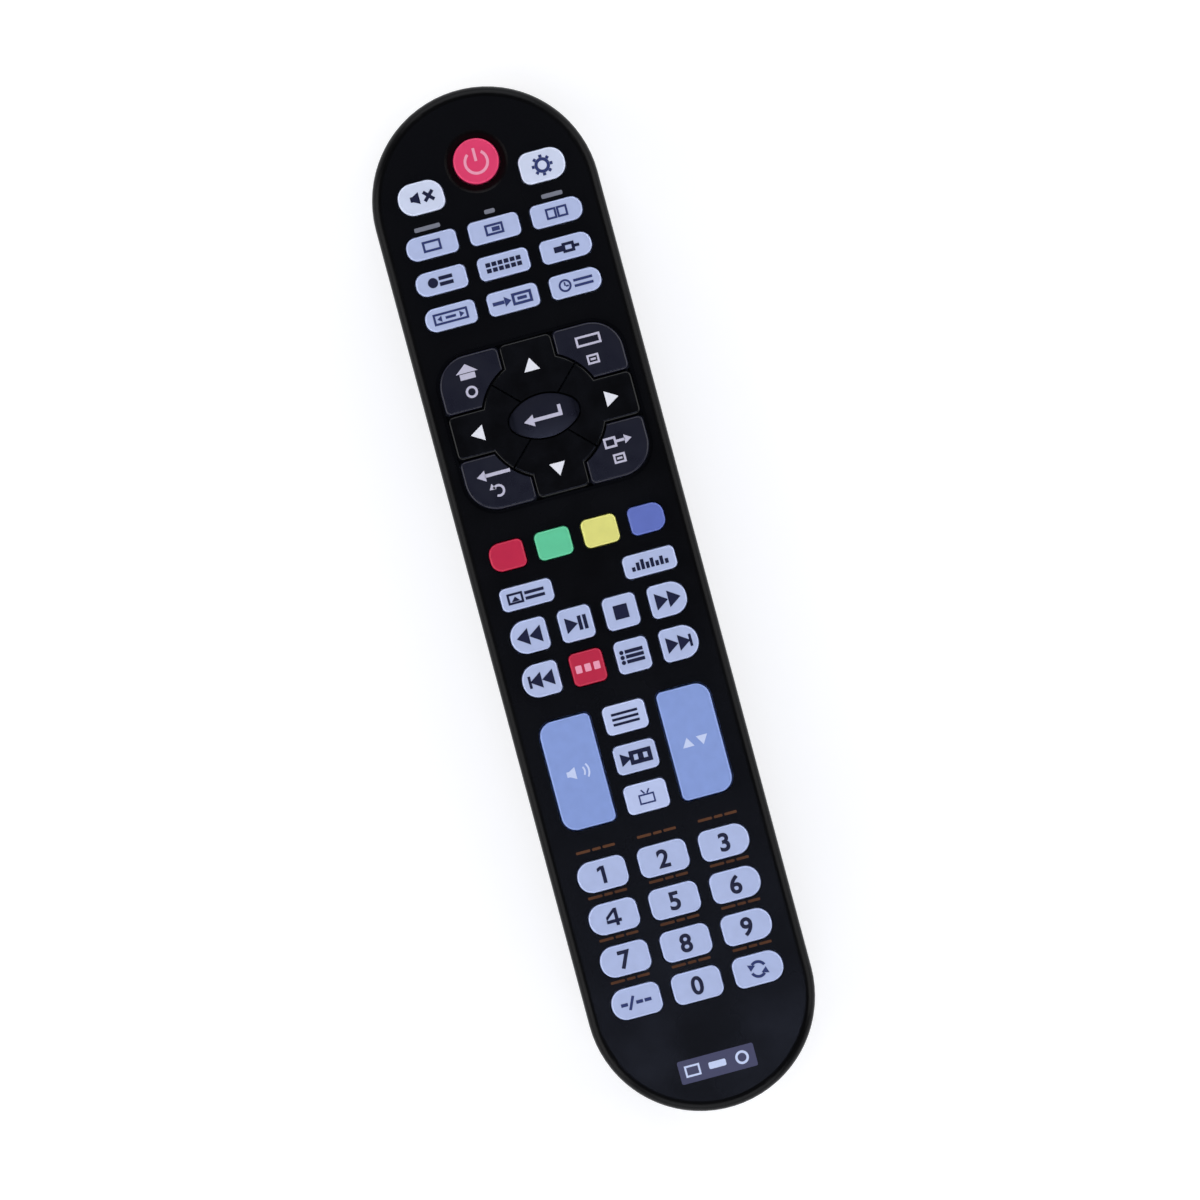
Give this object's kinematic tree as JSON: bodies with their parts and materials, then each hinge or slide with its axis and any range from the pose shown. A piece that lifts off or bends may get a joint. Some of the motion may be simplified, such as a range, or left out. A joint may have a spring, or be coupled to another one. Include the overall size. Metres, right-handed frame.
{
  "type": "universal remote control",
  "caption": "Slim handheld remote control with rounded ends: rows of sprung rubber keys, a navigation cluster, rocker keys and a sliding battery door in the back.",
  "frame": {"origin": "under the middle of the case, on the surface that it lies on", "axes": "+Y to the power key's end, +Z out of the key face, +X to the user's right"},
  "size_m": [0.047, 0.215, 0.0215],
  "materials": {
    "case": "fine satin grain",
    "key_pale": "satin",
    "key_rocker": "satin",
    "key_power": "satin",
    "key_app": "satin",
    "key_red": "satin",
    "key_green": "satin",
    "key_yellow": "satin",
    "key_blue": "satin",
    "nav_panel": "polished",
    "nav_cross": "polished",
    "rubber_mat": "matt",
    "board": "solder mask",
    "lamp": "clear tinted resin",
    "cells": "printed foil sleeve",
    "contacts": "nickel plate"
  },
  "bodies": {
    "case": {"top_cover": "case", "rear_cover": "case", "keypad_mat": "rubber_mat", "circuit_board": "board", "ir_led": "lamp", "battery_cells": "cells", "battery_contacts": "contacts"},
    "battery_door": {"battery_door": "case"},
    "power_key": {"power_key": "key_power"},
    "mute_key": {"mute_key": "key_pale"},
    "set_key": {"set_key": "key_pale"},
    "function_key_1": {"function_key_1": "key_pale"},
    "function_key_2": {"function_key_2": "key_pale"},
    "function_key_3": {"function_key_3": "key_pale"},
    "function_key_4": {"function_key_4": "key_pale"},
    "function_key_5": {"function_key_5": "key_pale"},
    "function_key_6": {"function_key_6": "key_pale"},
    "function_key_7": {"function_key_7": "key_pale"},
    "function_key_8": {"function_key_8": "key_pale"},
    "function_key_9": {"function_key_9": "key_pale"},
    "red_key": {"red_key": "key_red"},
    "green_key": {"green_key": "key_green"},
    "yellow_key": {"yellow_key": "key_yellow"},
    "blue_key": {"blue_key": "key_blue"},
    "picture_mode_key": {"picture_mode_key": "key_pale"},
    "sound_mode_key": {"sound_mode_key": "key_pale"},
    "rewind_key": {"rewind_key": "key_pale"},
    "play_key": {"play_key": "key_pale"},
    "stop_key": {"stop_key": "key_pale"},
    "forward_key": {"forward_key": "key_pale"},
    "previous_key": {"previous_key": "key_pale"},
    "app_key": {"app_key": "key_app"},
    "list_key": {"list_key": "key_pale"},
    "next_key": {"next_key": "key_pale"},
    "menu_key": {"menu_key": "key_pale"},
    "video_key": {"video_key": "key_pale"},
    "source_key": {"source_key": "key_pale"},
    "number_key_1": {"number_key_1": "key_pale"},
    "number_key_2": {"number_key_2": "key_pale"},
    "number_key_3": {"number_key_3": "key_pale"},
    "number_key_4": {"number_key_4": "key_pale"},
    "number_key_5": {"number_key_5": "key_pale"},
    "number_key_6": {"number_key_6": "key_pale"},
    "number_key_7": {"number_key_7": "key_pale"},
    "number_key_8": {"number_key_8": "key_pale"},
    "number_key_9": {"number_key_9": "key_pale"},
    "digits_key": {"digits_key": "key_pale"},
    "number_key_0": {"number_key_0": "key_pale"},
    "recall_key": {"recall_key": "key_pale"},
    "home_key": {"home_key": "nav_panel"},
    "display_key": {"display_key": "nav_panel"},
    "return_key": {"return_key": "nav_panel"},
    "exit_key": {"exit_key": "nav_panel"},
    "right_key": {"right_key": "nav_cross"},
    "up_key": {"up_key": "nav_cross"},
    "left_key": {"left_key": "nav_cross"},
    "down_key": {"down_key": "nav_cross"},
    "enter_key": {"enter_key": "nav_panel"},
    "volume_rocker": {"volume_rocker": "key_rocker"},
    "channel_rocker": {"channel_rocker": "key_rocker"}
  },
  "joints": [
    {"name": "battery_door_slide", "type": "slide", "parent": "case", "child": "battery_door", "axis": [0, -1, 0], "range_m": [0, 0.085]},
    {"name": "power_key_press", "type": "slide", "parent": "case", "child": "power_key", "axis": [0, 0, -1], "range_m": [0, 0.0009], "stiffness_N_per_m": 800},
    {"name": "mute_key_press", "type": "slide", "parent": "case", "child": "mute_key", "axis": [0, 0, -1], "range_m": [0, 0.0009], "stiffness_N_per_m": 800},
    {"name": "set_key_press", "type": "slide", "parent": "case", "child": "set_key", "axis": [0, 0, -1], "range_m": [0, 0.0009], "stiffness_N_per_m": 800},
    {"name": "function_key_1_press", "type": "slide", "parent": "case", "child": "function_key_1", "axis": [0, 0, -1], "range_m": [0, 0.0009], "stiffness_N_per_m": 800},
    {"name": "function_key_2_press", "type": "slide", "parent": "case", "child": "function_key_2", "axis": [0, 0, -1], "range_m": [0, 0.0009], "stiffness_N_per_m": 800},
    {"name": "function_key_3_press", "type": "slide", "parent": "case", "child": "function_key_3", "axis": [0, 0, -1], "range_m": [0, 0.0009], "stiffness_N_per_m": 800},
    {"name": "function_key_4_press", "type": "slide", "parent": "case", "child": "function_key_4", "axis": [0, 0, -1], "range_m": [0, 0.0009], "stiffness_N_per_m": 800},
    {"name": "function_key_5_press", "type": "slide", "parent": "case", "child": "function_key_5", "axis": [0, 0, -1], "range_m": [0, 0.0009], "stiffness_N_per_m": 800},
    {"name": "function_key_6_press", "type": "slide", "parent": "case", "child": "function_key_6", "axis": [0, 0, -1], "range_m": [0, 0.0009], "stiffness_N_per_m": 800},
    {"name": "function_key_7_press", "type": "slide", "parent": "case", "child": "function_key_7", "axis": [0, 0, -1], "range_m": [0, 0.0009], "stiffness_N_per_m": 800},
    {"name": "function_key_8_press", "type": "slide", "parent": "case", "child": "function_key_8", "axis": [0, 0, -1], "range_m": [0, 0.0009], "stiffness_N_per_m": 800},
    {"name": "function_key_9_press", "type": "slide", "parent": "case", "child": "function_key_9", "axis": [0, 0, -1], "range_m": [0, 0.0009], "stiffness_N_per_m": 800},
    {"name": "red_key_press", "type": "slide", "parent": "case", "child": "red_key", "axis": [0, 0, -1], "range_m": [0, 0.0009], "stiffness_N_per_m": 800},
    {"name": "green_key_press", "type": "slide", "parent": "case", "child": "green_key", "axis": [0, 0, -1], "range_m": [0, 0.0009], "stiffness_N_per_m": 800},
    {"name": "yellow_key_press", "type": "slide", "parent": "case", "child": "yellow_key", "axis": [0, 0, -1], "range_m": [0, 0.0009], "stiffness_N_per_m": 800},
    {"name": "blue_key_press", "type": "slide", "parent": "case", "child": "blue_key", "axis": [0, 0, -1], "range_m": [0, 0.0009], "stiffness_N_per_m": 800},
    {"name": "picture_mode_key_press", "type": "slide", "parent": "case", "child": "picture_mode_key", "axis": [0, 0, -1], "range_m": [0, 0.0009], "stiffness_N_per_m": 800},
    {"name": "sound_mode_key_press", "type": "slide", "parent": "case", "child": "sound_mode_key", "axis": [0, 0, -1], "range_m": [0, 0.0009], "stiffness_N_per_m": 800},
    {"name": "rewind_key_press", "type": "slide", "parent": "case", "child": "rewind_key", "axis": [0, 0, -1], "range_m": [0, 0.0009], "stiffness_N_per_m": 800},
    {"name": "play_key_press", "type": "slide", "parent": "case", "child": "play_key", "axis": [0, 0, -1], "range_m": [0, 0.0009], "stiffness_N_per_m": 800},
    {"name": "stop_key_press", "type": "slide", "parent": "case", "child": "stop_key", "axis": [0, 0, -1], "range_m": [0, 0.0009], "stiffness_N_per_m": 800},
    {"name": "forward_key_press", "type": "slide", "parent": "case", "child": "forward_key", "axis": [0, 0, -1], "range_m": [0, 0.0009], "stiffness_N_per_m": 800},
    {"name": "previous_key_press", "type": "slide", "parent": "case", "child": "previous_key", "axis": [0, 0, -1], "range_m": [0, 0.0009], "stiffness_N_per_m": 800},
    {"name": "app_key_press", "type": "slide", "parent": "case", "child": "app_key", "axis": [0, 0, -1], "range_m": [0, 0.0009], "stiffness_N_per_m": 800},
    {"name": "list_key_press", "type": "slide", "parent": "case", "child": "list_key", "axis": [0, 0, -1], "range_m": [0, 0.0009], "stiffness_N_per_m": 800},
    {"name": "next_key_press", "type": "slide", "parent": "case", "child": "next_key", "axis": [0, 0, -1], "range_m": [0, 0.0009], "stiffness_N_per_m": 800},
    {"name": "menu_key_press", "type": "slide", "parent": "case", "child": "menu_key", "axis": [0, 0, -1], "range_m": [0, 0.0009], "stiffness_N_per_m": 800},
    {"name": "video_key_press", "type": "slide", "parent": "case", "child": "video_key", "axis": [0, 0, -1], "range_m": [0, 0.0009], "stiffness_N_per_m": 800},
    {"name": "source_key_press", "type": "slide", "parent": "case", "child": "source_key", "axis": [0, 0, -1], "range_m": [0, 0.0009], "stiffness_N_per_m": 800},
    {"name": "number_key_1_press", "type": "slide", "parent": "case", "child": "number_key_1", "axis": [0, 0, -1], "range_m": [0, 0.0009], "stiffness_N_per_m": 800},
    {"name": "number_key_2_press", "type": "slide", "parent": "case", "child": "number_key_2", "axis": [0, 0, -1], "range_m": [0, 0.0009], "stiffness_N_per_m": 800},
    {"name": "number_key_3_press", "type": "slide", "parent": "case", "child": "number_key_3", "axis": [0, 0, -1], "range_m": [0, 0.0009], "stiffness_N_per_m": 800},
    {"name": "number_key_4_press", "type": "slide", "parent": "case", "child": "number_key_4", "axis": [0, 0, -1], "range_m": [0, 0.0009], "stiffness_N_per_m": 800},
    {"name": "number_key_5_press", "type": "slide", "parent": "case", "child": "number_key_5", "axis": [0, 0, -1], "range_m": [0, 0.0009], "stiffness_N_per_m": 800},
    {"name": "number_key_6_press", "type": "slide", "parent": "case", "child": "number_key_6", "axis": [0, 0, -1], "range_m": [0, 0.0009], "stiffness_N_per_m": 800},
    {"name": "number_key_7_press", "type": "slide", "parent": "case", "child": "number_key_7", "axis": [0, 0, -1], "range_m": [0, 0.0009], "stiffness_N_per_m": 800},
    {"name": "number_key_8_press", "type": "slide", "parent": "case", "child": "number_key_8", "axis": [0, 0, -1], "range_m": [0, 0.0009], "stiffness_N_per_m": 800},
    {"name": "number_key_9_press", "type": "slide", "parent": "case", "child": "number_key_9", "axis": [0, 0, -1], "range_m": [0, 0.0009], "stiffness_N_per_m": 800},
    {"name": "digits_key_press", "type": "slide", "parent": "case", "child": "digits_key", "axis": [0, 0, -1], "range_m": [0, 0.0009], "stiffness_N_per_m": 800},
    {"name": "number_key_0_press", "type": "slide", "parent": "case", "child": "number_key_0", "axis": [0, 0, -1], "range_m": [0, 0.0009], "stiffness_N_per_m": 800},
    {"name": "recall_key_press", "type": "slide", "parent": "case", "child": "recall_key", "axis": [0, 0, -1], "range_m": [0, 0.0009], "stiffness_N_per_m": 800},
    {"name": "home_key_press", "type": "slide", "parent": "case", "child": "home_key", "axis": [0, 0, -1], "range_m": [0, 0.0009], "stiffness_N_per_m": 800},
    {"name": "display_key_press", "type": "slide", "parent": "case", "child": "display_key", "axis": [0, 0, -1], "range_m": [0, 0.0009], "stiffness_N_per_m": 800},
    {"name": "return_key_press", "type": "slide", "parent": "case", "child": "return_key", "axis": [0, 0, -1], "range_m": [0, 0.0009], "stiffness_N_per_m": 800},
    {"name": "exit_key_press", "type": "slide", "parent": "case", "child": "exit_key", "axis": [0, 0, -1], "range_m": [0, 0.0009], "stiffness_N_per_m": 800},
    {"name": "right_key_press", "type": "slide", "parent": "case", "child": "right_key", "axis": [0, 0, -1], "range_m": [0, 0.0009], "stiffness_N_per_m": 800},
    {"name": "up_key_press", "type": "slide", "parent": "case", "child": "up_key", "axis": [0, 0, -1], "range_m": [0, 0.0009], "stiffness_N_per_m": 800},
    {"name": "left_key_press", "type": "slide", "parent": "case", "child": "left_key", "axis": [0, 0, -1], "range_m": [0, 0.0009], "stiffness_N_per_m": 800},
    {"name": "down_key_press", "type": "slide", "parent": "case", "child": "down_key", "axis": [0, 0, -1], "range_m": [0, 0.0009], "stiffness_N_per_m": 800},
    {"name": "enter_key_press", "type": "slide", "parent": "case", "child": "enter_key", "axis": [0, 0, -1], "range_m": [0, 0.0009], "stiffness_N_per_m": 800},
    {"name": "volume_rocker_tilt", "type": "hinge", "parent": "case", "child": "volume_rocker", "pos_m": [-0.01247, -0.03335, 0.01715], "axis": [1, 0, 0], "range_deg": [-2.5, 2.5], "stiffness_Nm_per_rad": 0.16},
    {"name": "channel_rocker_tilt", "type": "hinge", "parent": "case", "child": "channel_rocker", "pos_m": [0.01247, -0.03335, 0.01715], "axis": [1, 0, 0], "range_deg": [-2.5, 2.5], "stiffness_Nm_per_rad": 0.16}
  ]
}
